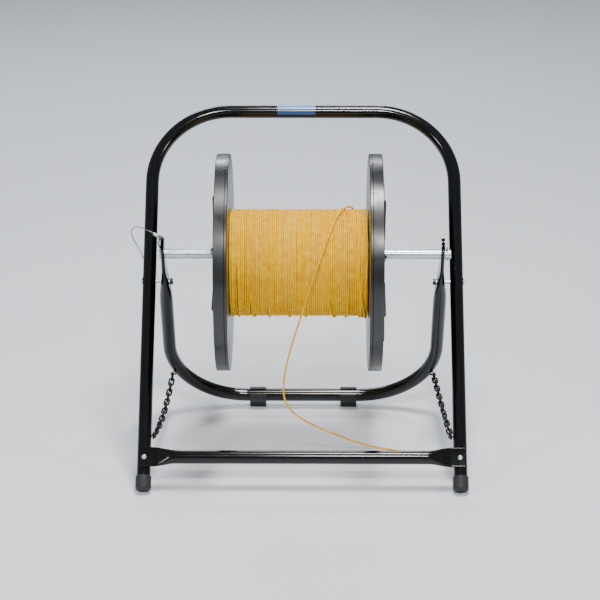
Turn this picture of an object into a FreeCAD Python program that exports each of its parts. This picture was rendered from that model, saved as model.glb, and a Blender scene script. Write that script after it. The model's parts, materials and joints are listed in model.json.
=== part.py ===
import FreeCAD, Part
import math
import os

from FreeCAD import Vector

# Folding tube stand that carries a spool of wire on a removable axle.
# Millimetres. +X is to the right of a person facing the stand, +Y behind it, +Z up, floor at Z = 0.
# Two U-shaped tube frames cross at a pivot bolt on each side: the front frame leans back and ends in the
# carrying handle, the rear frame leans the other way and its flattened upper ends hold the axle.

# Driving dimensions: tube frames
tube_od = 22.2
tube_wall = 1.5
pivot_y = 13.9
pivot_z = 281.5
front_lean = 40.0
rear_lean = -28.0
front_half_width = 255.6
rear_half_width = 229.5
corner_radius = 131.0
handle_up = 312.0
front_leg_end = -352.0
rear_bar_up = -292.0
flare_bottom, flare_top = -45.0, 47.0
plate_top = 98.0
plate_thick = 6.0
axle_up = 66.5

# Fasteners and the lower crossbar
pivot_bolt_d = 6.0
nut_across, nut_height = 10.0, 5.0
running_clearance = 0.05
body_gap = 0.3
crossbar_up = -307.8
crossbar_plate_thick = 3.4
crossbar_plate_end = 261.5
crossbar_plate_start = 241.0
crossbar_flare_end = 203.0
crossbar_screw_x = 254.5
crossbar_screw_r = 2.5

# Axle and its pins
axle_d = 16.0
axle_left, axle_right = -236.1, 243.4
cotter_x = 236.4
cotter_d = 3.0
hitch_wire_d = 2.2

# Spool
spool_x = -5.6
spool_outer_width = 270.0
flange_radius = 178.4
flange_thick = 22.0
bore_radius = 22.5
barrel_radius = 50.0
winding_radius = 88.0
axle_play = 0.1
hub_r = 46.0
rib_proud, rib_start_r, rib_end_r = 5.0, 52.0, 128.0

# Feet, label and chains
tip_d = 25.4
tip_top, tip_end = -336.6, -360.0
rear_foot_x = 79.5
rear_foot_width = 28.0
foot_front, foot_back = -9.5, 11.5
clip_mouth = (26.0, 68.0)
label_x, label_length, label_drop = -12.3, 65.0, 2.4
link_wire_d = 3.2
link_inner_length, link_inner_width = 18.3, 4.6
links_per_chain, links_on_rear_half = 16, 9
chain_sag = {"left": 16.0, "right": 3.0}
rear_anchor_x, rear_anchor_up, rear_anchor_off = 226.8, -232.0, -4.0
front_anchor_x, front_anchor_up = 241.0, -269.0
rear_screw_root_x = 217.5
chain_screw_d = 3.0
chain_screw_head_d = 7.0

# Free wire and lanyard
wire_d = 3.0
lanyard_d = 1.8
ferrule_r, pin_ferrule_length, leg_ferrule_length = 2.4, 9.0, 5.0
pin_eye_r, leg_eye_r = 3.0, 4.5
cord_start_gap = 1.0
tether_up, tether_screw_d, leg_eye_back = 20.0, 3.0, 14.5
hitch_coil_r = 3.4

os.makedirs("parts", exist_ok=True)
tube_r = tube_od / 2
across = Vector(1, 0, 0)


def save(name, shape):
    """Write one node's STEP file."""
    shape.exportStep(f"parts/{name}.step")
    print(f"{name}: {len(shape.Solids)} solid(s), {shape.Volume / 1000:.1f} cm3, valid {shape.isValid()}")


def along_leg(lean):
    """Unit vector up a frame's legs."""
    tilt = math.radians(lean)
    return Vector(0, math.sin(tilt), math.cos(tilt))


def behind_leg(lean):
    """Unit vector square to a frame's plane, pointing to its back."""
    tilt = math.radians(lean)
    return Vector(0, math.cos(tilt), -math.sin(tilt))


def on_frame(lean, x, up, back=0.0):
    """Point in a frame: x across it, up its legs from the pivot, back from its plane."""
    return Vector(x, pivot_y, pivot_z) + along_leg(lean) * up + behind_leg(lean) * back


def rod(start, end, radius):
    """Round bar between two points."""
    run = end - start
    return Part.makeCylinder(radius, run.Length, start, run)


def pipe(path, radius):
    """Round bar along a smooth wire."""
    edge = path.OrderedEdges[0]
    start = path.OrderedVertexes[0].Point
    tangent = edge.tangentAt(edge.FirstParameter)
    ring = Part.Wire(Part.makeCircle(radius, start, tangent))
    return path.makePipeShell([ring], True, False)


def round_route(points):
    """Wire of straight runs joined by tangent arcs as large as the runs allow."""
    points = [Vector(*p) for p in points]
    edges = []
    start = points[0]
    for before, corner, after in zip(points, points[1:], points[2:]):
        arrive, leave = corner - before, after - corner
        half_turn = arrive.getAngle(leave) / 2
        trim = 0.45 * min(arrive.Length, leave.Length)
        bend_r = trim / math.tan(half_turn)
        first = corner - arrive.normalize() * trim
        last = corner + leave.normalize() * trim
        inward = (first + last) * 0.5 - corner
        middle = corner + inward.normalize() * (bend_r / math.cos(half_turn) - bend_r)
        edges.append(Part.LineSegment(start, first).toShape())
        edges.append(Part.Arc(first, middle, last).toShape())
        start = last
    edges.append(Part.LineSegment(start, points[-1]).toShape())
    return Part.Wire(edges)


def cord_tube(name, points, diameter):
    """Plain tube of a cord, with its volume checked against section times length."""
    route = round_route(points)
    tube = pipe(route, diameter / 2)
    expected = math.pi * diameter**2 / 4 * route.Length
    print(f"{name}: length {route.Length:.1f} mm, volume ratio {tube.Volume / expected:.4f}")
    return tube


def u_path(lean, half_width, leg_up, bar_up):
    """Centre line of a U frame: leg, corner, bar, corner, leg."""
    way = 1 if bar_up > leg_up else -1
    corner_up = bar_up - way * corner_radius
    corner_x = half_width - corner_radius
    reach = corner_radius * math.sqrt(0.5)

    def point(x, up):
        return on_frame(lean, x, up)

    def corner(side):
        low = point(side * half_width, corner_up)
        middle = point(side * (corner_x + reach), corner_up + way * reach)
        return low, middle, point(side * corner_x, bar_up)

    left, right = corner(-1), corner(1)
    return Part.Wire([
        Part.LineSegment(point(-half_width, leg_up), left[0]).toShape(),
        Part.Arc(*left).toShape(),
        Part.LineSegment(left[2], right[2]).toShape(),
        Part.Arc(right[2], right[1], right[0]).toShape(),
        Part.LineSegment(right[0], point(half_width, leg_up)).toShape(),
    ])


def flattened_ring(centre, wide, thin, thick, inset, trim=0.0):
    """Outline of a pressed round tube: flat sides, round ends, the same girth as the tube."""
    width = thick + math.pi * (tube_od - thick) / 2 - 2 * inset - trim
    thick = thick - 2 * inset - trim
    cap, flat = thick / 2, (width - thick) / 2
    girth = 4 * flat + 2 * math.pi * cap
    points = []
    for i in range(48):
        walk = girth * i / 48
        if walk < flat:
            u, v = walk, cap
        elif walk < flat + math.pi * cap:
            turn = (walk - flat) / cap
            u, v = flat + cap * math.sin(turn), cap * math.cos(turn)
        elif walk < 3 * flat + math.pi * cap:
            u, v = flat - (walk - flat - math.pi * cap), -cap
        elif walk < 3 * flat + 2 * math.pi * cap:
            turn = (walk - 3 * flat - math.pi * cap) / cap
            u, v = -flat - cap * math.sin(turn), -cap * math.cos(turn)
        else:
            u, v = walk - girth, cap
        points.append(centre + wide * u + thin * v)
    outline = Part.BSplineCurve()
    outline.interpolate(points, PeriodicFlag=True)
    return Part.Wire(outline.toShape())


def pressed_end(base, run, wide, thin, flare_length, plate_length, thick, inset=0.0):
    """Flare from the round tube to a flat plate; base is where the tube is still round."""
    trim = 0.04
    rings = []
    steps = 8
    for i in range(steps + 1):
        share = i / steps
        ease = share * share * (3 - 2 * share)
        here = tube_od + (thick - tube_od) * ease
        rings.append(flattened_ring(base + run * flare_length * share, wide, thin, here, inset, trim))
    plate_end = base + run * (flare_length + plate_length)
    last_ring = flattened_ring(plate_end, wide, thin, thick, inset, trim)
    return [Part.makeLoft(rings, True, False), Part.makeLoft([rings[-1], last_ring], True, True)]


def hex_nut(centre, axis, across_flats, height, hole_r):
    """Six-sided nut standing on centre along axis."""
    side = axis.cross(Vector(0, 0, 1)).normalize()
    up = axis.cross(side).normalize()
    corners = []
    for i in range(7):
        turn = math.radians(60 * i + 30)
        corners.append(centre + (side * math.cos(turn) + up * math.sin(turn)) * (across_flats / math.sqrt(3)))
    body = Part.Face(Part.makePolygon(corners)).extrude(axis * height)
    shoulder = centre + axis * height * 0.8
    crown = Part.makeCone(across_flats * 0.57, across_flats * 0.47, height * 0.2, shoulder, axis)
    shank = Part.makeCylinder(across_flats * 0.62, height * 0.8, centre, axis)
    return body.common(shank.fuse(crown)).cut(Part.makeCylinder(hole_r, height, centre, axis))


def domed_head(centre, axis, radius, height):
    """Low domed screw head with its flat side on centre."""
    ball_r = (radius**2 + height**2) / (2 * height)
    ball = Part.makeSphere(ball_r, centre + axis * (height - ball_r))
    return ball.common(Part.makeCylinder(radius, height, centre, axis))


def front_tube():
    """Front U frame with its pivot holes and screw holes."""
    path = u_path(front_lean, front_half_width, front_leg_end, handle_up)
    shape = pipe(path, tube_r).cut(pipe(path, tube_r - tube_wall))
    for side in (-1, 1):
        start = on_frame(front_lean, side * (front_half_width - 20), 0)
        hole_r = pivot_bolt_d / 2 + running_clearance
        shape = shape.cut(Part.makeCylinder(hole_r, 40, start, Vector(side, 0, 0)))
        screw_at = on_frame(front_lean, side * crossbar_screw_x, crossbar_up, -tube_r - 5)
        shape = shape.cut(Part.makeCylinder(crossbar_screw_r, 15, screw_at, behind_leg(front_lean)))
        anchor = on_frame(front_lean, side * (front_half_width - 14), front_anchor_up)
        shape = shape.cut(Part.makeCylinder(chain_screw_d / 2, 8, anchor, Vector(side, 0, 0)))
    tether = on_frame(front_lean, -front_half_width, tether_up, tube_r - 4)
    return shape.cut(Part.makeCylinder(tether_screw_d / 2, 8, tether, behind_leg(front_lean)))


def rear_tube():
    """Rear U frame: round bar and legs, pressed flat above the pivot to carry the axle."""
    up, back = along_leg(rear_lean), behind_leg(rear_lean)
    path = u_path(rear_lean, rear_half_width, flare_bottom, rear_bar_up)
    plate_length = plate_top - flare_top
    outer, inner = pipe(path, tube_r), pipe(path, tube_r - tube_wall)
    for side in (-1, 1):
        base = on_frame(rear_lean, side * rear_half_width, flare_bottom - 1)
        flare_length = flare_top - flare_bottom + 1
        press = (base, up, back, across, flare_length, plate_length, plate_thick)
        outer = outer.fuse(pressed_end(*press))
        inner = inner.fuse(pressed_end(*press, inset=tube_wall))
    shape = outer.cut(inner)
    plate_half = (plate_thick + math.pi * (tube_od - plate_thick) / 2) / 2
    for side in (-1, 1):
        tip = on_frame(rear_lean, side * rear_half_width - 5, plate_top - plate_half)
        block = Part.makeBox(10, 60, 60, Vector(0, -30, 0))
        block = block.cut(Part.makeCylinder(plate_half, 10, Vector(0, 0, 0), across))
        block.Placement = FreeCAD.Placement(tip, FreeCAD.Rotation(across, -rear_lean))
        shape = shape.cut(block)
        axle_hole = on_frame(rear_lean, side * rear_half_width - 10, axle_up)
        shape = shape.cut(Part.makeCylinder(axle_d / 2 + 0.1, 20, axle_hole, across))
        pivot_hole = on_frame(rear_lean, side * rear_half_width - 15, 0)
        shape = shape.cut(Part.makeCylinder(pivot_bolt_d / 2 + running_clearance, 30, pivot_hole, across))
        anchor = on_frame(rear_lean, side * (rear_anchor_x - 10), rear_anchor_up, rear_anchor_off)
        shape = shape.cut(Part.makeCylinder(chain_screw_d / 2, 10, anchor, Vector(side, 0, 0)))
    return shape


def crossbar():
    """Lower crossbar: a tube across the front of the legs with both ends pressed flat."""
    up, back = along_leg(front_lean), behind_leg(front_lean)
    offset = -tube_r - crossbar_plate_thick / 2
    bases = [on_frame(front_lean, side * crossbar_flare_end, crossbar_up, offset) for side in (-1, 1)]
    shape = rod(*bases, tube_r).cut(rod(*bases, tube_r - tube_wall))
    flare_length = crossbar_plate_start - crossbar_flare_end
    plate_length = crossbar_plate_end - crossbar_plate_start
    for base, run in zip(bases, (across * -1, across)):
        press = (base, run, up, back, flare_length, plate_length, crossbar_plate_thick)
        shape = shape.fuse(pressed_end(*press))
    shape = shape.removeSplitter()
    for side in (-1, 1):
        screw_at = on_frame(front_lean, side * crossbar_screw_x, crossbar_up, -tube_r - 5)
        shape = shape.cut(Part.makeCylinder(crossbar_screw_r, 10, screw_at, back))
    return shape


def crossbar_screws():
    """Pan-head screws that hold the crossbar plates to the legs."""
    back = behind_leg(front_lean)
    screws = []
    for side in (-1, 1):
        face = on_frame(front_lean, side * crossbar_screw_x, crossbar_up, -tube_r - crossbar_plate_thick)
        shank = Part.makeCylinder(crossbar_screw_r, 12, face, back)
        head = domed_head(face, back * -1, 4.2, 2.2)
        recess = Part.makeCylinder(1.3, 1.2, face - back * 2.3, back)
        screws.append(shank.fuse(head).cut(recess))
    return Part.makeCompound(screws)


def rubber_foot(side):
    """Push-on rubber tip with a rounded end, worn flat where it stands on the floor."""
    up = along_leg(front_lean)
    end = on_frame(front_lean, side * front_half_width, tip_end)
    body = Part.makeCylinder(tip_d / 2, tip_top - tip_end, end, up)
    rim = [e for e in body.Edges if e.Curve.TypeId == "Part::GeomCircle"]
    lower = min(rim, key=lambda e: e.CenterOfMass.z)
    upper = max(rim, key=lambda e: e.CenterOfMass.z)
    body = body.makeFillet(4.0, [lower])
    upper = [e for e in body.Edges if e.Curve.TypeId == "Part::GeomCircle"]
    body = body.makeFillet(0.8, [max(upper, key=lambda e: e.CenterOfMass.z)])
    socket = on_frame(front_lean, side * front_half_width, front_leg_end)
    body = body.cut(Part.makeCylinder(tube_r, 60, socket, up))
    floor = Part.makeBox(100, 100, 50, Vector(end.x - 50, end.y - 50, -50))
    return body.cut(floor)


def rear_foot(side):
    """Saddle under the rear bar: a C clip open to the upper front, on a block cut flat for the floor."""
    up, back = along_leg(rear_lean), behind_leg(rear_lean)
    left = side * rear_foot_x - rear_foot_width / 2
    centre = on_frame(rear_lean, left, rear_bar_up)
    clip = Part.makeCylinder(tube_r + 3.0, rear_foot_width, centre, across)
    corners = [(foot_front, 0), (foot_back, 0), (foot_back, -60), (foot_front, -60), (foot_front, 0)]
    outline = [centre + back * b + up * u for b, u in corners]
    block = Part.Face(Part.makePolygon(outline)).extrude(across * rear_foot_width)
    body = clip.fuse(block).removeSplitter()
    body = body.cut(Part.makeCylinder(tube_r, rear_foot_width, centre, across))
    low, high = [Vector(0, -math.cos(math.radians(a)), math.sin(math.radians(a))) for a in clip_mouth]
    wedge = [centre, centre + low * 40, centre + (low + high) * 40, centre + high * 40, centre]
    body = body.cut(Part.Face(Part.makePolygon(wedge)).extrude(across * rear_foot_width))
    floor = Part.makeBox(100, 200, 100, Vector(left - 20, centre.y - 100, -100))
    return body.cut(floor)


def pivot_bolts():
    """Domed bolts through both frames, one a side."""
    bolts = []
    for side in (-1, 1):
        out = Vector(side, 0, 0)
        head_face = Vector(side * (front_half_width + tube_r), pivot_y, pivot_z)
        inner_end = Vector(side * pivot_inner_end, pivot_y, pivot_z)
        shank = rod(inner_end, head_face, pivot_bolt_d / 2)
        bolts.append(shank.fuse(domed_head(head_face, out, 6.5, 2.6)))
    return Part.makeCompound(bolts)


def pivot_nuts():
    """Lock nuts on the inner side of the rear frame."""
    nuts = []
    for side in (-1, 1):
        face = Vector(side * nut_face, pivot_y, pivot_z)
        nuts.append(hex_nut(face, Vector(-side, 0, 0), nut_across, nut_height, pivot_bolt_d / 2))
    return Part.makeCompound(nuts)


def chain_screws(lean, anchor_x, anchor_up, anchor_off, root_x, head_way):
    """Pair of screws at one level of a frame; head_way is +1 outward, -1 inward."""
    screws = []
    for side in (-1, 1):
        out = Vector(side * head_way, 0, 0)
        root = on_frame(lean, side * root_x, anchor_up, anchor_off)
        head_face = on_frame(lean, side * (anchor_x + head_way * 2.6), anchor_up, anchor_off)
        shank = rod(root, head_face, chain_screw_d / 2)
        screws.append(shank.fuse(domed_head(head_face, out, chain_screw_head_d / 2, 2.0)))
    return Part.makeCompound(screws)


def label():
    """Printed sticker over the top of the handle."""
    start = on_frame(front_lean, label_x - label_length / 2, handle_up)
    band = Part.makeCylinder(tube_r + 0.3, label_length, start, across)
    band = band.cut(Part.makeCylinder(tube_r, label_length, start, across))
    below = start - Vector(0, tube_od, tube_od + label_drop)
    underside = Part.makeBox(label_length, tube_od * 2, tube_od, below)
    return band.cut(underside)


def axle():
    """Plain round axle with chamfered ends and two cross holes for its pins."""
    up = along_leg(rear_lean)
    start = on_frame(rear_lean, axle_left, axle_up)
    shape = rod(start, on_frame(rear_lean, axle_right, axle_up), axle_d / 2)
    ends = [e for e in shape.Edges if e.Curve.TypeId == "Part::GeomCircle"]
    shape = shape.makeChamfer(1.0, ends)
    for x, diameter in ((cotter_x, cotter_d), (-rear_half_width, hitch_wire_d)):
        shape = shape.cut(Part.makeCylinder(diameter / 2, 40, on_frame(rear_lean, x, axle_up - 20), up))
    return shape


def cotter_pin():
    """Split pin at the axle's right end: eye above, both legs below with one bent outward."""
    up, back = along_leg(rear_lean), behind_leg(rear_lean)
    top = on_frame(rear_lean, cotter_x, axle_up + axle_d / 2 + 2.0)
    eye_r = 2.6
    eye_centre = top + up * eye_r
    eye = Part.makeTorus(eye_r, 0.9, eye_centre, Vector(1, 0, 0))
    bend_start = on_frame(rear_lean, cotter_x, axle_up - axle_d / 2 - 1.0)
    shank = rod(bend_start, top + up * 0.6, cotter_d / 2)
    hook_r = 3.0
    hook_middle = bend_start + Vector(hook_r * (1 - math.sqrt(0.5)), 0, 0) - up * hook_r * math.sqrt(0.5)
    hook_end = bend_start + Vector(hook_r, 0, 0) - up * hook_r
    hook = pipe(Part.Wire(Part.Arc(bend_start, hook_middle, hook_end).toShape()), cotter_d / 2)
    return shank.fuse([eye, hook])


def hitch_pin():
    """Spring hairpin in the left plate: its straight leg goes down the slot and through the axle."""
    up = along_leg(rear_lean)
    slot_x = -rear_half_width
    outer_x = slot_x - plate_thick / 2 - hitch_wire_d / 2 - 0.6
    leg_low, leg_high = (on_frame(rear_lean, slot_x, level) for level in (axle_up - 6, plate_top + 3))
    straight = rod(leg_low, leg_high, hitch_wire_d / 2)
    ring = Part.makeTorus(hitch_coil_r, hitch_wire_d / 2, Vector(0, 0, 0), Vector(0, 0, 1))
    ring.rotate(Vector(0, 0, 0), Vector(0, 0, 1), 37)
    stand_up = FreeCAD.Rotation(Vector(0, 0, 1), behind_leg(rear_lean))
    ring.Placement = FreeCAD.Placement(hitch_coil_centre, stand_up).multiply(ring.Placement)
    waves = []
    for i in range(5):
        bow = 1.5 * (1 - math.cos(math.pi * i / 2)) / 2
        waves.append(on_frame(rear_lean, outer_x - bow, plate_top + 2.5 - 5.0 * i))
    wave = Part.BSplineCurve()
    wave.interpolate(waves, InitialTangent=up * -1, FinalTangent=up * -1)
    return straight.fuse(ring).fuse(pipe(Part.Wire(wave.toShape()), hitch_wire_d / 2))


def flange(side):
    """Moulded flange: rim with a fine groove beside its inner lip, ribbed outer face with a hub boss."""
    out = Vector(side, 0, 0)
    centre_y, centre_z = spool_centre.y, spool_centre.z
    inner_x = spool_x + side * (spool_outer_width / 2 - flange_thick)
    base = Vector(inner_x, centre_y, centre_z)
    lip, web, rim_wall = 4.7, 4.0, 5.0
    profile = [
        (0, bore_radius), (0, flange_radius - 1.0), (1.0, flange_radius), (lip - 0.5, flange_radius),
        (lip, flange_radius - 0.7), (lip + 0.5, flange_radius),
        (flange_thick - 1.0, flange_radius), (flange_thick, flange_radius - 1.0),
        (flange_thick, flange_radius - rim_wall), (web, flange_radius - rim_wall - 1.0),
        (web, hub_r), (flange_thick - 2.0, hub_r - 2.0), (flange_thick - 2.0, bore_radius), (0, bore_radius),
    ]
    outline = [base + out * x + Vector(0, 0, r) for x, r in profile]
    shape = Part.Face(Part.makePolygon(outline)).revolve(base, Vector(1, 0, 0), 360)
    for i in range(8):
        turn = math.radians(22.5 + 45 * i + (5.0 if side < 0 else 0.0))
        radial = Vector(0, math.sin(turn), math.cos(turn))
        tangent = Vector(0, math.cos(turn), -math.sin(turn))
        root, top = web - 1.0, flange_thick + rib_proud
        corners = [
            (root, hub_r - 3.0), (top, rib_start_r), (top, rib_end_r), (flange_thick - 4.0, rib_end_r + 12.0),
            (root, flange_radius - rim_wall), (root, hub_r - 3.0),
        ]
        rib = [base + out * x + radial * r - tangent * 2.0 for x, r in corners]
        shape = shape.fuse(Part.Face(Part.makePolygon(rib)).extrude(tangent * 4.0))
    return shape


def barrel():
    """Drum between the flanges: outer wall, hub tube and radial webs in one moulding."""
    length = spool_outer_width - 2 * flange_thick
    start = Vector(spool_x - length / 2, spool_centre.y, spool_centre.z)
    wall = Part.makeCylinder(barrel_radius, length, start, across)
    wall = wall.cut(Part.makeCylinder(barrel_radius - 3, length, start, across))
    hub = Part.makeCylinder(bore_radius + 3, length, start, across)
    shape = wall.fuse(hub)
    for i in range(6):
        turn = math.radians(60 * i)
        radial = Vector(0, math.sin(turn), math.cos(turn))
        tangent = Vector(0, math.cos(turn), -math.sin(turn))
        corner, reach, thick = start + radial * bore_radius - tangent * 1.5, radial * 26, tangent * 3
        outline = [corner, corner + reach, corner + reach + thick, corner + thick, corner]
        shape = shape.fuse(Part.Face(Part.makePolygon(outline)).extrude(across * length))
    return shape.cut(Part.makeCylinder(bore_radius, length, start, across))


def winding():
    """Outer shape of the wound wire."""
    length = spool_outer_width - 2 * flange_thick
    start = Vector(spool_x - length / 2, spool_centre.y, spool_centre.z)
    shape = Part.makeCylinder(winding_radius, length, start, across)
    return shape.cut(Part.makeCylinder(barrel_radius, length, start, across))


def chain_link(centre, run, normal):
    """One welded link: a round bar bent into a long ring, lying square to normal."""
    side = normal.cross(run).normalize()
    half = (link_inner_length - link_inner_width) / 2
    bend = (link_inner_width + link_wire_d) / 2
    a, b = centre + run * half + side * bend, centre + run * half - side * bend
    c, d = centre - run * half - side * bend, centre - run * half + side * bend
    right, left = centre + run * (half + bend), centre - run * (half + bend)
    path = Part.Wire([
        Part.LineSegment(d, a).toShape(), Part.Arc(a, right, b).toShape(),
        Part.LineSegment(b, c).toShape(), Part.Arc(c, left, d).toShape(),
    ])
    ring = Part.Wire(Part.makeCircle(link_wire_d / 2, d, run))
    return path.makePipeShell([ring], True, False)


def chain_ends(side):
    """Axes that a chain hangs between: rear frame first, front frame last."""
    rear = on_frame(rear_lean, side * rear_anchor_x, rear_anchor_up, rear_anchor_off)
    front = on_frame(front_lean, side * front_anchor_x, front_anchor_up)
    return rear, front


def chain_point(side, share):
    """Point and direction on a slightly slack chain, share 0 at the rear screw and 1 at the front one."""
    rear, front = chain_ends(side)
    sag = chain_sag["left" if side < 0 else "right"]
    point = rear + (front - rear) * share - Vector(0, 0, 4 * sag * share * (1 - share))
    slope = (front - rear) - Vector(0, 0, 4 * sag * (1 - 2 * share))
    return point, slope.normalize()


def chain_halves(side):
    """Links that hang on the rear frame and links that hang on the front frame.

    Each link stands square to the next, and the lower half twists a quarter turn to meet its screw.
    """
    rear, front = chain_ends(side)
    span = (front - rear).Length
    first = (link_inner_length / 2 - chain_screw_d / 2 - 0.24) / span
    last = links_per_chain - 1
    links = []
    for i in range(links_per_chain):
        share = first + (1 - 2 * first) * i / last
        centre, run = chain_point(side, share)
        normal = Vector(1, 0, 0) - run * run.x
        twist = max(0.0, (i - links_on_rear_half + 2) / (last - links_on_rear_half + 2))
        turn = 90.0 * (i % 2 - twist)
        normal = FreeCAD.Rotation(run, turn).multVec(normal.normalize())
        links.append(chain_link(centre, run, normal))
    return Part.makeCompound(links[:links_on_rear_half]), Part.makeCompound(links[links_on_rear_half:])


def ferrule(start, end):
    """Crimped sleeve on the wire rope, with rounded rims."""
    shape = rod(start, end, ferrule_r)
    ends = [e for e in shape.Edges if e.Curve.TypeId == "Part::GeomCircle"]
    return shape.makeFillet(0.8, ends)


def rope_eye(centre, axis, eye_r, sleeve):
    """Loop of rope that comes back into its sleeve."""
    return Part.makeTorus(eye_r, lanyard_d / 2, centre, axis).cut(sleeve)


def lanyard_screw():
    """Screw in the back of the left front leg that the lanyard's lower eye hangs on."""
    back = behind_leg(front_lean)
    root = on_frame(front_lean, -front_half_width, tether_up, tube_r - 4)
    head_face = on_frame(front_lean, -front_half_width, tether_up, leg_eye_back + 1.6)
    return rod(root, head_face, tether_screw_d / 2).fuse(domed_head(head_face, back, 4.0, 2.0))


# Derived places
hitch_coil_centre = on_frame(rear_lean, -rear_half_width - 2.35, plate_top + 5.3, 0.3)
spool_centre = on_frame(rear_lean, spool_x, axle_up) - Vector(0, 0, bore_radius - axle_d / 2 - axle_play)
share_at_nut = (-nut_across / math.sqrt(3) - flare_bottom) / (flare_top - flare_bottom)
tube_thick_at_nut = tube_od + (plate_thick - tube_od) * share_at_nut**2 * (3 - 2 * share_at_nut)
nut_face = rear_half_width - tube_thick_at_nut / 2 - body_gap
pivot_inner_end = nut_face - nut_height - 1.4

# Free end of the wire: off the top of the winding, down its front, round a slack bend and along the floor
wire_tail_route = [
    (80, 9.9, 412.2), (71, -6.1, 420.3), (57, -41.5, 416.1), (42, -83.5, 391.9), (24.5, -107.7, 349.9),
    (10.5, -108.1, 306.3), (-3.5, -108.5, 260.3), (-17, -108.1, 216.3), (-27.5, -107.1, 174.3),
    (-32, -104.1, 137.3), (-28, -98.1, 107.3), (-10, -89.1, 82.3), (19, -76.1, 59.8), (55, -61.1, 37.6),
    (92, -47.1, 17), (124, -35.1, 3.2), (152, -40.1, 1.5), (176, -53.1, 1.5), (192, -69.1, 1.5),
]

# Wire rope that keeps the hairpin with the stand, round the left front leg to a screw behind it
lanyard_route = [
    (-244, -28.7, 379.5), (-252.5, -10.1, 377.3), (-266, 17.9, 373.8), (-278.5, 43.9, 367.8),
    (-288, 62.9, 356.3), (-288, 74.9, 339.3), (-280.5, 79.4, 323.8), (-271.5, 70.9, 309.3),
    (-264.8, 55.9, 298.7), (-260.4, 47.2, 293.3),
]

save("front_frame_tube", front_tube())
save("rear_frame_tube", rear_tube())
save("front_crossbar", crossbar())
save("crossbar_screws", crossbar_screws())
for side, name in ((-1, "left"), (1, "right")):
    save(f"front_foot_{name}", rubber_foot(side))
    save(f"rear_foot_{name}", rear_foot(side))
save("pivot_bolts", pivot_bolts())
save("pivot_nuts", pivot_nuts())
save("handle_label", label())
front_screws = (front_lean, front_anchor_x, front_anchor_up, 0, front_half_width - tube_r + 1, -1)
rear_screws = (rear_lean, rear_anchor_x, rear_anchor_up, rear_anchor_off, rear_screw_root_x, 1)
save("front_chain_screws", chain_screws(*front_screws))
save("rear_chain_screws", chain_screws(*rear_screws))
save("axle_rod", axle())
save("cotter_pin", cotter_pin())
save("hitch_pin", hitch_pin())
for side, name in ((-1, "left"), (1, "right")):
    save(f"flange_{name}", flange(side))
    rear_half, front_half = chain_halves(side)
    save(f"chain_{name}_rear_links", rear_half)
    save(f"chain_{name}_front_links", front_half)
save("spool_barrel", barrel())
save("wire_winding", winding())

pin_end, leg_end = Vector(*lanyard_route[0]), Vector(*lanyard_route[-1])
coil_way = across * -0.8 + along_leg(rear_lean) * 0.6
pin_eye = hitch_coil_centre + coil_way * hitch_coil_r
pin_way = (pin_end - pin_eye).normalize()
pin_sleeve = ferrule(pin_end - pin_way * pin_ferrule_length, pin_end - pin_way * cord_start_gap)
save("pin_ferrule", pin_sleeve)
save("pin_rope_eye", rope_eye(pin_eye, coil_way.cross(behind_leg(rear_lean)), pin_eye_r, pin_sleeve))

tether = on_frame(front_lean, -front_half_width, tether_up, leg_eye_back)
hang_way = across * -0.42 + along_leg(front_lean) * 0.908
leg_eye = tether + hang_way * (leg_eye_r - lanyard_d / 2 - tether_screw_d / 2 - running_clearance)
leg_way = (leg_end - leg_eye).normalize()
leg_sleeve = ferrule(leg_end - leg_way * leg_ferrule_length, leg_end)
save("leg_ferrule", leg_sleeve)
save("leg_rope_eye", rope_eye(leg_eye, behind_leg(front_lean), leg_eye_r, leg_sleeve))
save("lanyard_screw", lanyard_screw())
save("lanyard", cord_tube("lanyard", lanyard_route, lanyard_d))
save("wire_tail", cord_tube("wire_tail", wire_tail_route, wire_d))
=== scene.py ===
import bpy
import json
import math
import random
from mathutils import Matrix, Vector


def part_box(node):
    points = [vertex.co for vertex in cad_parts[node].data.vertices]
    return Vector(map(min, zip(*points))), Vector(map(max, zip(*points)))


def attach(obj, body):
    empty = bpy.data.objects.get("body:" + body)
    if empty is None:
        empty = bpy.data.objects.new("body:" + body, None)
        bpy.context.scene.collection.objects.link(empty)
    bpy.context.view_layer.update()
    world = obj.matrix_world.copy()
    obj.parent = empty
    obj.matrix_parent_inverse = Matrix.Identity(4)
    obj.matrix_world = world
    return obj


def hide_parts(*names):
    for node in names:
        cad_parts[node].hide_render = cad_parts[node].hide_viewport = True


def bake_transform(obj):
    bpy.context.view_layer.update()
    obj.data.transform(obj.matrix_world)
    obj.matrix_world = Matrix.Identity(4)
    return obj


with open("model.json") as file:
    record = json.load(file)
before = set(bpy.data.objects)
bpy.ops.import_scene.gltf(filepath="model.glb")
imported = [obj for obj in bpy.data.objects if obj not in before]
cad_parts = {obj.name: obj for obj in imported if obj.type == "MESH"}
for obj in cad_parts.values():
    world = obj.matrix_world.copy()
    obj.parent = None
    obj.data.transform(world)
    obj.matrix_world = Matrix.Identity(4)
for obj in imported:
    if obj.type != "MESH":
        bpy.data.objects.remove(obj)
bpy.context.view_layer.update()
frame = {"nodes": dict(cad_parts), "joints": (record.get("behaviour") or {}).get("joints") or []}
nodes = frame["nodes"]
print("frame loaded:", len(nodes), "nodes")


# camera

cameraSet = {
    "place": (0.0196, -3.4759, 1.4825),
    "pitchDown": 19.4,
    "turnLeft": 0.4,
    "lens": 133.0,
    "sensor": 36.0,
    "shiftY": -0.0042,
}


def makeCamera(spec):
    data = bpy.data.cameras.new("camera")
    data.lens = spec["lens"]
    data.sensor_width = spec["sensor"]
    data.shift_y = spec["shiftY"]
    camera = bpy.data.objects.new("camera", data)
    camera.location = spec["place"]
    camera.rotation_euler = (math.radians(90 - spec["pitchDown"]), 0, math.radians(spec["turnLeft"]))
    bpy.context.collection.objects.link(camera)
    bpy.context.scene.camera = camera


makeCamera(cameraSet)
print("camera set")


# colours and nodes

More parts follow.
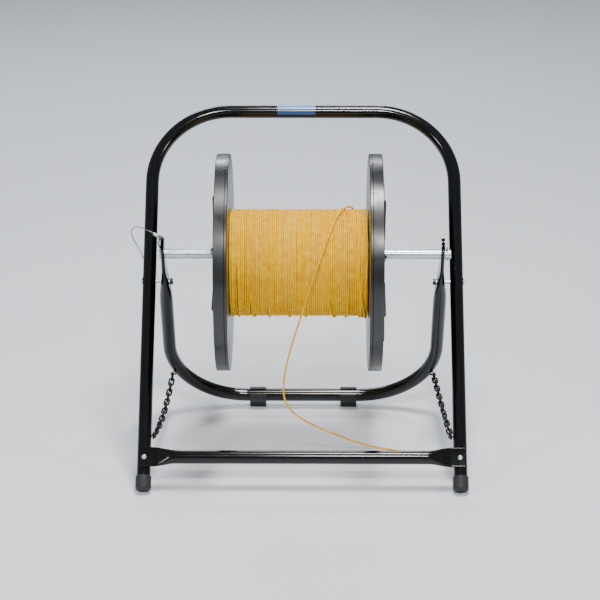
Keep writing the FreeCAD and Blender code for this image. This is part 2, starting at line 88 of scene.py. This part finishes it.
def toLinear(hexText, alpha=1.0):
    channels = []
    for i in (0, 2, 4):
        c = int(hexText[i:i + 2], 16) / 255
        channels.append(c / 12.92 if c <= 0.04045 else ((c + 0.055) / 1.055) ** 2.4)
    return (*channels, alpha)


def perMetre(mm):
    return 1000.0 / mm  # noise scale whose features are about this many millimetres


def addNode(tree, kind, settings=None, links=None):
    node = tree.nodes.new(kind)
    for name, value in (settings or {}).items():
        if isinstance(name, int) or name in node.inputs:
            node.inputs[name].default_value = value
        else:
            setattr(node, name, value)
    for name, source in (links or {}).items():
        tree.links.new(source, node.inputs[name])
    return node


def startMaterial(name, shader):
    material = bpy.data.materials.new(name)
    material.use_nodes = True
    tree = material.node_tree
    tree.nodes.clear()
    bsdf = addNode(tree, "ShaderNodeBsdfPrincipled", shader)
    addNode(tree, "ShaderNodeOutputMaterial", links={"Surface": bsdf.outputs["BSDF"]})
    place = addNode(tree, "ShaderNodeTexCoord").outputs["Object"]
    return material, tree, bsdf, place


def mixColours(tree, factor, first, second):
    mix = addNode(tree, "ShaderNodeMix", {"data_type": "RGBA"})
    tree.links.new(factor, mix.inputs[0])
    mix.inputs[6].default_value = first
    mix.inputs[7].default_value = second
    return mix.outputs[2]


def bumpFrom(tree, height, depthMm, strength=1.0, below=None):
    links = {"Height": height}
    if below:
        links["Normal"] = below
    settings = {"Distance": depthMm / 1000, "Strength": strength}
    return addNode(tree, "ShaderNodeBump", settings, links).outputs["Normal"]


def noiseOf(tree, place, mm, detail, **more):
    settings = {"Scale": perMetre(mm), "Detail": float(detail), **more}
    return addNode(tree, "ShaderNodeTexNoise", settings, {"Vector": place}).outputs[0]


def spread(tree, value, low, high):
    settings = {"From Min": 0.3, "From Max": 0.7, "To Min": low, "To Max": high}
    return addNode(tree, "ShaderNodeMapRange", settings, {"Value": value}).outputs["Result"]


# black powder coat: baked thick and glossy, so highlights are narrow with a faint orange peel
powderCoat = {
    "dark": "020202", "light": "060607", "roughLow": 0.09, "roughHigh": 0.17, "peelMm": 2.4, "peelDepth": 0.02,
}


def makePowderCoat(spec):
    shader = {"IOR": 1.42, "Coat Weight": 0.05, "Coat Roughness": 0.06}
    material, tree, bsdf, place = startMaterial("powderCoatBlackGloss", shader)
    dust = noiseOf(tree, place, 38, 6, Roughness=0.65)
    peel = noiseOf(tree, place, spec["peelMm"], 2)
    shade = mixColours(tree, dust, toLinear(spec["dark"]), toLinear(spec["light"]))
    tree.links.new(shade, bsdf.inputs["Base Color"])
    tree.links.new(spread(tree, dust, spec["roughLow"], spec["roughHigh"]), bsdf.inputs["Roughness"])
    tree.links.new(bumpFrom(tree, peel, spec["peelDepth"], 0.5), bsdf.inputs["Normal"])
    return material


# zinc plated steel rod: drawn along its length, a soft grey metal with fine lines and dull patches
zincPlate = {"dark": "a9b0b8", "light": "e4e8ec", "lineMm": 0.9, "stretch": 40.0, "patchMm": 14.0}


def makeZinc(spec):
    material, tree, bsdf, place = startMaterial("zincPlatedDrawnSteel", {"Metallic": 1.0})
    stretch = (1 / spec["stretch"], 1.0, 1.0)
    drawn = addNode(tree, "ShaderNodeMapping", {"Scale": stretch}, {"Vector": place})
    lines = addNode(tree, "ShaderNodeTexNoise", {"Scale": perMetre(spec["lineMm"]), "Detail": 3.0},
                    {"Vector": drawn.outputs[0]})
    patches = noiseOf(tree, place, spec["patchMm"], 5)
    shade = mixColours(tree, patches, toLinear(spec["dark"]), toLinear(spec["light"]))
    tree.links.new(shade, bsdf.inputs["Base Color"])
    tree.links.new(spread(tree, patches, 0.24, 0.42), bsdf.inputs["Roughness"])
    tree.links.new(bumpFrom(tree, lines.outputs[0], 0.03, 0.4), bsdf.inputs["Normal"])
    return material


# blackened steel: rolled and tumbled parts, nearly black with worn lighter spots and soft sheen
def makeDarkSteel(name, dark, light, roughLow, roughHigh, grainMm):
    material, tree, bsdf, place = startMaterial(name, {"Metallic": 0.85})
    wear = noiseOf(tree, place, 6, 6, Roughness=0.7)
    grain = noiseOf(tree, place, grainMm, 3)
    shade = mixColours(tree, wear, toLinear(dark), toLinear(light))
    tree.links.new(shade, bsdf.inputs["Base Color"])
    tree.links.new(spread(tree, wear, roughLow, roughHigh), bsdf.inputs["Roughness"])
    tree.links.new(bumpFrom(tree, grain, 0.06, 0.35), bsdf.inputs["Normal"])
    return material


# moulded polystyrene: satin black skin that takes a broad grey sheen, with flow marks and light scuffs
spoolPlastic = {"dark": "060607", "light": "121214", "skinMm": 1.6, "flowMm": 55.0, "scuffMm": 3.5}


def makeSpoolPlastic(spec):
    shader = {"IOR": 1.57, "Specular IOR Level": 0.55}
    material, tree, bsdf, place = startMaterial("mouldedPolystyreneBlack", shader)
    flow = noiseOf(tree, place, spec["flowMm"], 4, Distortion=1.2)
    skin = noiseOf(tree, place, spec["skinMm"], 3)
    scuff = noiseOf(tree, place, spec["scuffMm"], 8, Roughness=0.8)
    shade = mixColours(tree, scuff, toLinear(spec["dark"]), toLinear(spec["light"]))
    tree.links.new(shade, bsdf.inputs["Base Color"])
    tree.links.new(spread(tree, flow, 0.24, 0.4), bsdf.inputs["Roughness"])
    wide = bumpFrom(tree, flow, 0.5, 0.12)
    tree.links.new(bumpFrom(tree, skin, 0.03, 0.5, wide), bsdf.inputs["Normal"])
    return material


# extruded PVC insulation: saturated yellow skin, nearly matt, with drawing lines; random streaks mixing a shaded
# and a lit yellow are painted shade together with handling smudges
wirePvc = {"shadow": "dc9400", "bright": "ffcc00", "shadeSmudgeMm": 9.0, "speckMm": 0.9}


def makeWirePvc(spec):
    shader = {"IOR": 1.4, "Specular IOR Level": 0.12}
    material, tree, bsdf, place = startMaterial("extrudedPvcYellow", shader)
    shadeAndSmudge = noiseOf(tree, place, spec["shadeSmudgeMm"], 6, Roughness=0.6)
    speck = noiseOf(tree, place, spec["speckMm"], 2)
    tone = spread(tree, shadeAndSmudge, 0.2, 1.0)
    # painted shade: the darker shadow yellow laid in random streaks stands in for shade on the turns, mixed in
    # with handling smudges
    shade = mixColours(tree, tone, toLinear(spec["shadow"]), toLinear(spec["bright"]))
    tree.links.new(shade, bsdf.inputs["Base Color"])
    tree.links.new(spread(tree, shadeAndSmudge, 0.62, 0.5), bsdf.inputs["Roughness"])
    tree.links.new(bumpFrom(tree, speck, 0.03, 0.4), bsdf.inputs["Normal"])
    return material


# moulded rubber: matt and dusty, dark grey where it catches the light
def makeRubber(name, dark, light, roughLow, roughHigh):
    material, tree, bsdf, place = startMaterial(name, {"IOR": 1.52, "Specular IOR Level": 0.4})
    dust = noiseOf(tree, place, 7, 8, Roughness=0.75)
    grain = noiseOf(tree, place, 0.8, 3)
    shade = mixColours(tree, dust, toLinear(dark), toLinear(light))
    tree.links.new(shade, bsdf.inputs["Base Color"])
    tree.links.new(spread(tree, dust, roughLow, roughHigh), bsdf.inputs["Roughness"])
    tree.links.new(bumpFrom(tree, grain, 0.05, 0.6), bsdf.inputs["Normal"])
    return material


# printed vinyl film: deep blue under a gloss laminate, with a painted highlight as a lighter blue band along its
# top
labelFilm = {"blue": "1d4c80", "deep": "143a66", "band": "4f80b4", "bandFrom": 0.5275}


def makeLabelFilm(spec):
    shader = {"IOR": 1.5, "Roughness": 0.28, "Coat Weight": 0.5, "Coat Roughness": 0.12}
    material, tree, bsdf, place = startMaterial("printedVinylBlue", shader)
    split = addNode(tree, "ShaderNodeSeparateXYZ", links={"Vector": place})
    # painted highlight: everything above this height is painted a lighter blue, where the gloss would catch the
    # light
    above = {"operation": "GREATER_THAN", 1: spec["bandFrom"]}
    highlightMask = addNode(tree, "ShaderNodeMath", above, {0: split.outputs[2]})
    mottle = noiseOf(tree, place, 5, 5)
    ground = mixColours(tree, mottle, toLinear(spec["deep"]), toLinear(spec["blue"]))
    mix = addNode(tree, "ShaderNodeMix", {"data_type": "RGBA"})
    tree.links.new(highlightMask.outputs[0], mix.inputs[0])
    tree.links.new(ground, mix.inputs[6])
    mix.inputs[7].default_value = toLinear(spec["band"])
    tree.links.new(mix.outputs[2], bsdf.inputs["Base Color"])
    tree.links.new(bumpFrom(tree, mottle, 0.04, 0.3), bsdf.inputs["Normal"])
    return material


# aluminium sleeve: pressed soft metal, pale and a little dented
def makeBrightMetal(name, dark, light, roughLow, roughHigh, dentMm):
    material, tree, bsdf, place = startMaterial(name, {"Metallic": 1.0})
    dents = noiseOf(tree, place, dentMm, 4)
    shade = mixColours(tree, dents, toLinear(dark), toLinear(light))
    tree.links.new(shade, bsdf.inputs["Base Color"])
    tree.links.new(spread(tree, dents, roughLow, roughHigh), bsdf.inputs["Roughness"])
    tree.links.new(bumpFrom(tree, dents, 0.12, 0.5), bsdf.inputs["Normal"])
    return material


coatMat = makePowderCoat(powderCoat)
zincMat = makeZinc(zincPlate)
chainMat = makeDarkSteel("blackenedChainSteel", "0f0e0e", "2e2c2a", 0.28, 0.5, 1.2)
screwMat = makeDarkSteel("blackZincScrewSteel", "1b1b1c", "47474a", 0.25, 0.42, 0.7)
springMat = makeDarkSteel("oiledSpringSteel", "1d1b19", "55504a", 0.25, 0.4, 0.8)
spoolMat = makeSpoolPlastic(spoolPlastic)
wireMat = makeWirePvc(wirePvc)
tipMat = makeRubber("mouldedRubberTip", "131314", "2a2a2c", 0.5, 0.68)
saddleMat = makeRubber("mouldedSaddleNylon", "0f0f10", "222224", 0.38, 0.55)
labelMat = makeLabelFilm(labelFilm)
sleeveMat = makeBrightMetal("pressedAluminiumSleeve", "b9b9b6", "e6e6e2", 0.3, 0.45, 2.2)
ropeMat = makeBrightMetal("strandedSteelRope", "77777a", "b4b4b4", 0.3, 0.48, 0.7)
print("materials made")


nodeFinish = {
    "front_frame_tube": coatMat, "rear_frame_tube": coatMat, "front_crossbar": coatMat,
    "crossbar_screws": zincMat, "front_chain_screws": screwMat, "rear_chain_screws": screwMat,
    "lanyard_screw": screwMat, "pivot_nuts": screwMat, "pivot_bolts": zincMat, "axle_rod": zincMat,
    "front_foot_left": tipMat, "front_foot_right": tipMat,
    "rear_foot_left": saddleMat, "rear_foot_right": saddleMat,
    "cotter_pin": springMat, "hitch_pin": springMat,
    "chain_left_rear_links": chainMat, "chain_left_front_links": chainMat,
    "chain_right_rear_links": chainMat, "chain_right_front_links": chainMat,
    "flange_left": spoolMat, "flange_right": spoolMat, "spool_barrel": spoolMat,
    "handle_label": labelMat, "pin_ferrule": sleeveMat, "leg_ferrule": sleeveMat,
    "pin_rope_eye": ropeMat, "leg_rope_eye": ropeMat,
}


def dressNode(name, material):
    part = nodes[name]
    if not part.material_slots:
        part.data.materials.append(material)
    for place in part.material_slots:
        place.material = material


for nodeName, finish in nodeFinish.items():
    dressNode(nodeName, finish)
print("carried-over parts dressed")


# round bars along a line of points

def linkMesh(name, points, faces, material):
    mesh = bpy.data.meshes.new(name)
    mesh.from_pydata(points, [], faces)
    mesh.materials.append(material)
    mesh.polygons.foreach_set("use_smooth", [True] * len(mesh.polygons))
    piece = bpy.data.objects.new(name, mesh)
    bpy.context.collection.objects.link(piece)
    return piece


def carriedFrames(line):
    ways = [(b - a).normalized() for a, b in zip(line, line[1:])]
    ways.append(ways[-1])
    side = ways[0].orthogonal().normalized()
    frames = []
    for way in ways:
        side = (side - way * side.dot(way)).normalized()
        frames.append((side, way.cross(side)))
    return frames


def roundBar(line, radius, sides, firstIndex=0):
    points, faces = [], []
    for spot, (side, up) in zip(line, carriedFrames(line)):
        for k in range(sides):
            turn = 2 * math.pi * k / sides
            points.append(spot + (side * math.cos(turn) + up * math.sin(turn)) * radius)
    for i in range(len(line) - 1):
        for k in range(sides):
            a = firstIndex + i * sides + k
            b = firstIndex + i * sides + (k + 1) % sides
            faces.append((a, b, b + sides, a + sides))
    last = firstIndex + (len(line) - 1) * sides
    faces.append([firstIndex + k for k in reversed(range(sides))])
    faces.append([last + k for k in range(sides)])
    return points, faces


def routeCurve(name, route, radius=0.0):
    data = bpy.data.curves.new(name, "CURVE")
    data.dimensions = "3D"
    data.resolution_u = 12
    data.bevel_depth = radius
    data.bevel_resolution = 5
    data.use_fill_caps = radius > 0
    spline = data.splines.new("NURBS")
    spline.points.add(len(route) - 1)
    for point, (x, y, z) in zip(spline.points, route):
        point.co = (x, y, z, 1)
    spline.order_u = 3
    spline.use_endpoint_u = True
    curve = bpy.data.objects.new(name, data)
    bpy.context.collection.objects.link(curve)
    return curve


def readLine(route):
    curve = routeCurve("routeProbe", route)
    bpy.context.view_layer.update()
    mesh = bpy.data.meshes.new_from_object(curve)
    line = [v.co.copy() for v in mesh.vertices]
    bpy.data.objects.remove(curve)
    bpy.data.meshes.remove(mesh)
    return line


def curveToMesh(curve, name, material):
    bpy.context.view_layer.update()
    mesh = bpy.data.meshes.new_from_object(curve)
    bpy.data.objects.remove(curve)
    mesh.materials.clear()
    mesh.materials.append(material)
    mesh.polygons.foreach_set("use_smooth", [True] * len(mesh.polygons))
    piece = bpy.data.objects.new(name, mesh)
    bpy.context.collection.objects.link(piece)
    return piece


def lineLength(line):
    return sum((b - a).length for a, b in zip(line, line[1:]))


# free end of the wire

freeWire = {
    "diameter": 0.003,
    "route": [
        (0.080, 0.0099, 0.4122), (0.071, -0.0061, 0.4203), (0.057, -0.0415, 0.4161), (0.042, -0.0835, 0.3919),
        (0.0245, -0.1077, 0.3499), (0.0105, -0.1081, 0.3063), (-0.0035, -0.1085, 0.2603),
        (-0.017, -0.1081, 0.2163), (-0.0275, -0.1071, 0.1743), (-0.032, -0.1041, 0.1373),
        (-0.028, -0.0981, 0.1073), (-0.010, -0.0891, 0.0823), (0.019, -0.0761, 0.0598),
        (0.055, -0.0611, 0.0376), (0.092, -0.0471, 0.017), (0.124, -0.0351, 0.0032), (0.152, -0.0401, 0.0015),
        (0.176, -0.0531, 0.0015), (0.192, -0.0691, 0.0015),
    ],
    "bendStart": (0.0, -0.10, 0.33),
    "bendEnd": (0.0, -0.10, 0.02),
}


def makeFreeWire(spec):
    line = readLine(spec["route"])
    curve = routeCurve("freeWireCurve", spec["route"], spec["diameter"] / 2)
    piece = curveToMesh(curve, "freeWire", wireMat)
    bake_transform(piece)
    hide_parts("wire_tail")


makeFreeWire(freeWire)
print("free wire laid")


# lanyard: six strands laid round a core

lanyardSpec = {
    "diameter": 0.0018,
    "route": [
        (-0.244, -0.0287, 0.3795), (-0.2525, -0.0101, 0.3773), (-0.266, 0.0179, 0.3738),
        (-0.2785, 0.0439, 0.3678), (-0.288, 0.0629, 0.3563), (-0.288, 0.0749, 0.3393),
        (-0.2805, 0.0794, 0.3238), (-0.2715, 0.0709, 0.3093), (-0.2648, 0.0559, 0.2987),
        (-0.2604, 0.0472, 0.2933),
    ],
    "strands": 6,
    "layLength": 0.011,
    "step": 0.0007,
}


def evenLine(line, step):
    total = lineLength(line)
    count = max(2, round(total / step))
    spots, i, walked = [line[0].copy()], 0, 0.0
    for k in range(1, count):
        target = total * k / count
        while walked + (line[i + 1] - line[i]).length < target:
            walked += (line[i + 1] - line[i]).length
            i += 1
        run = line[i + 1] - line[i]
        spots.append(line[i] + run * ((target - walked) / run.length))
    spots.append(line[-1].copy())
    return spots


def makeLanyard(spec):
    line = readLine(spec["route"])
    spots = evenLine(line, spec["step"])
    frames = carriedFrames(spots)
    strandR = spec["diameter"] / 6
    pitchR = spec["diameter"] / 2 - strandR
    points, faces = roundBar(spots, strandR, 6)
    for s in range(spec["strands"]):
        strand = []
        for i, (spot, (side, up)) in enumerate(zip(spots, frames)):
            turn = 2 * math.pi * (s / spec["strands"] + i * spec["step"] / spec["layLength"])
            strand.append(spot + (side * math.cos(turn) + up * math.sin(turn)) * pitchR)
        more, moreFaces = roundBar(strand, strandR, 6, len(points))
        points += more
        faces += moreFaces
    piece = linkMesh("lanyardRope", points, faces, ropeMat)
    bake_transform(piece)
    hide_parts("lanyard")


makeLanyard(lanyardSpec)
print("lanyard made")


# wound wire: one full layer of turns, with a few turns and loose stretches lying over it

windSpec = {
    "wireR": 0.0015,
    "pitch": 0.00302,
    "radius": 0.0865,
    "stepsPerTurn": 72,
    "sides": 8,
    "seed": 11,
    "overlay": [
        # start x, end x, start angle, end angle from the top towards the front, lift above the layer
        (0.060, 0.088, -40, 62, 0.0026),
        (0.088, 0.1005, 20, 200, 0.0028),
        (0.0955, 0.0885, 40, 230, 0.0030),
        (0.1040, 0.0970, 60, 250, 0.0026),
        (0.092, 0.104, 95, 165, 0.0048),
        (-0.030, -0.012, 110, 215, 0.0027),
        (0.012, -0.004, 100, 230, 0.0027),
        (0.040, 0.062, 105, 205, 0.0029),
        (-0.085, -0.070, 95, 220, 0.0027),
        (-0.104, -0.112, 60, 250, 0.0026),
        (-0.055, -0.062, 120, 210, 0.0034),
        (0.074, 0.066, 90, 200, 0.0030),
    ],
    # the turn that the free wire leaves from: it climbs out of the layer and ends where that wire starts
    "lastTurn": {
        "startX": 0.094, "startAngle": -92.0, "sink": 0.0022, "steps": 30, "sideEase": 1.6, "climbEase": 1.3,
    },
    # uneven hand winding: slow waves in and out, some of it sideways, and slack on the underside
    "waves": 9,
    "waveRate": (0.15, 2.6),
    "waveSize": (0.00006, 0.00019),
    "waveSideways": 0.3,
    "sway": 0.00018,
    "slack": 0.0005,
    # overlay strands: degrees per step, how far each starts below the layer, how quickly it climbs out
    "strandStep": 3,
    "strandDive": 0.0028,
    "strandClimb": 7,
    "strandBow": 0.004,
}


def spoolMiddle():
    joint = [j for j in frame["joints"] if j["name"] == "spool_spin"][0]
    return Vector(joint["pos_m"])


def aroundSpool(x, angle, radius):
    middle = spoolMiddle()
    turn = math.radians(angle)
    return Vector((x, middle.y - radius * math.sin(turn), middle.z + radius * math.cos(turn)))


def lastTurnLine(spec):
    start, turn, middle = Vector(freeWire["route"][0]), spec["lastTurn"], spoolMiddle()
    endRadius = math.hypot(start.y - middle.y, start.z - middle.z)
    endAngle = math.degrees(math.atan2(middle.y - start.y, start.z - middle.z))
    low = spec["radius"] - turn["sink"]
    line = []
    for i in range(turn["steps"] + 1):
        share = i / turn["steps"]
        x = turn["startX"] + (start.x - turn["startX"]) * share ** turn["sideEase"]
        angle = turn["startAngle"] + (endAngle - turn["startAngle"]) * share
        line.append(aroundSpool(x, angle, low + (endRadius - low) * share ** turn["climbEase"]))
    return line


def makeWinding(spec):
    rng = random.Random(spec["seed"])
    low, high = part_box("wire_winding")
    first, last = low[0] + spec["wireR"] * 1.02, high[0] - spec["wireR"] * 1.02
    turns = (last - first) / spec["pitch"]
    waves = []
    for _ in range(spec["waves"]):
        waves.append((rng.uniform(*spec["waveRate"]), rng.uniform(0, 6.3), rng.uniform(*spec["waveSize"])))
    line = []
    steps = int(turns * spec["stepsPerTurn"])
    for i in range(steps + 1):
        turn = i / spec["stepsPerTurn"]
        angle = 360 * turn
        wander = sum(size * math.sin(turn * rate * 2 * math.pi + start) for rate, start, size in waves)
        slack = spec["slack"] * max(0.0, -math.cos(math.radians(angle))) * (0.5 + 0.5 * math.sin(turn * 2.39996))
        sideways = spec["sway"] * math.sin(math.radians(angle * 2)) + wander * spec["waveSideways"]
        x = first + (last - first) * turn / turns + sideways
        line.append(aroundSpool(min(max(x, first), last), angle, spec["radius"] + wander + slack))
    piece = linkMesh("woundWire", *roundBar(line, spec["wireR"], spec["sides"]), wireMat)
    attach(piece, "spool")
    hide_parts("wire_winding")

    points, faces = [], []
    for startX, endX, startAngle, endAngle, lift in spec["overlay"]:
        line = []
        count = int(abs(endAngle - startAngle) / spec["strandStep"])
        bow = rng.uniform(-spec["strandBow"], spec["strandBow"])
        for i in range(count + 1):
            share = i / count
            rise = min(1.0, share * spec["strandClimb"], (1 - share) * spec["strandClimb"])
            ease = rise * rise * (3 - 2 * rise)
            x = startX + (endX - startX) * share + bow * math.sin(math.pi * share)
            radius = spec["radius"] - spec["strandDive"] + (spec["strandDive"] + lift) * ease
            line.append(aroundSpool(x, startAngle + (endAngle - startAngle) * share, radius))
        more, moreFaces = roundBar(line, spec["wireR"], spec["sides"], len(points))
        points += more
        faces += moreFaces
    more, moreFaces = roundBar(lastTurnLine(spec), spec["wireR"], spec["sides"], len(points))
    piece = linkMesh("looseTurns", points + more, faces + moreFaces, wireMat)
    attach(piece, "spool")


makeWinding(windSpec)
print("winding made")


# floor and light

floorSpec = {"half": 12.0, "pale": "dfe4ea", "paler": "e8ecf1"}
lightSpec = [
    # name, place, width, height, power, colour
    ("overhead", (0.2, -0.1, 2.7), 0.7, 0.5, 66, "ffffff"),
    ("nearCamera", (0.2, -3.0, 2.9), 0.5, 0.35, 74, "ffffff"),
    ("frontLeft", (-2.4, -2.2, 2.0), 0.5, 0.6, 30, "fbfcff"),
    ("frontRight", (2.6, -1.6, 1.6), 0.4, 0.7, 18, "fff6ea"),
    ("behind", (-0.4, 3.0, 2.2), 1.6, 0.5, 40, "f4f8ff"),
]


def makeFloor(spec):
    material, tree, bsdf, place = startMaterial("paleStudioFloor", {"Roughness": 0.6, "IOR": 1.45})
    cloud = noiseOf(tree, place, 900, 3)
    shade = mixColours(tree, cloud, toLinear(spec["pale"]), toLinear(spec["paler"]))
    tree.links.new(shade, bsdf.inputs["Base Color"])
    h = spec["half"]
    floor = linkMesh("floor", [(-h, -h, 0), (h, -h, 0), (h, h, 0), (-h, h, 0)], [(0, 1, 2, 3)], material)


def makeLights(specs):
    for name, place, width, height, power, colour in specs:
        data = bpy.data.lights.new(name, "AREA")
        data.shape = "RECTANGLE"
        data.size, data.size_y = width, height
        data.energy = power
        data.color = toLinear(colour)[:3]
        light = bpy.data.objects.new(name, data)
        light.location = place
        light.rotation_euler = (Vector((0, 0, 0.25)) - Vector(place)).to_track_quat("-Z", "Y").to_euler()
        bpy.context.collection.objects.link(light)
    world = bpy.data.worlds.new("studio")
    world.use_nodes = True
    bpy.context.scene.world = world
    world.node_tree.nodes["Background"].inputs["Color"].default_value = toLinear("e4e9f0")
    world.node_tree.nodes["Background"].inputs["Strength"].default_value = 0.42


makeFloor(floorSpec)
makeLights(lightSpec)
print("floor and light set")
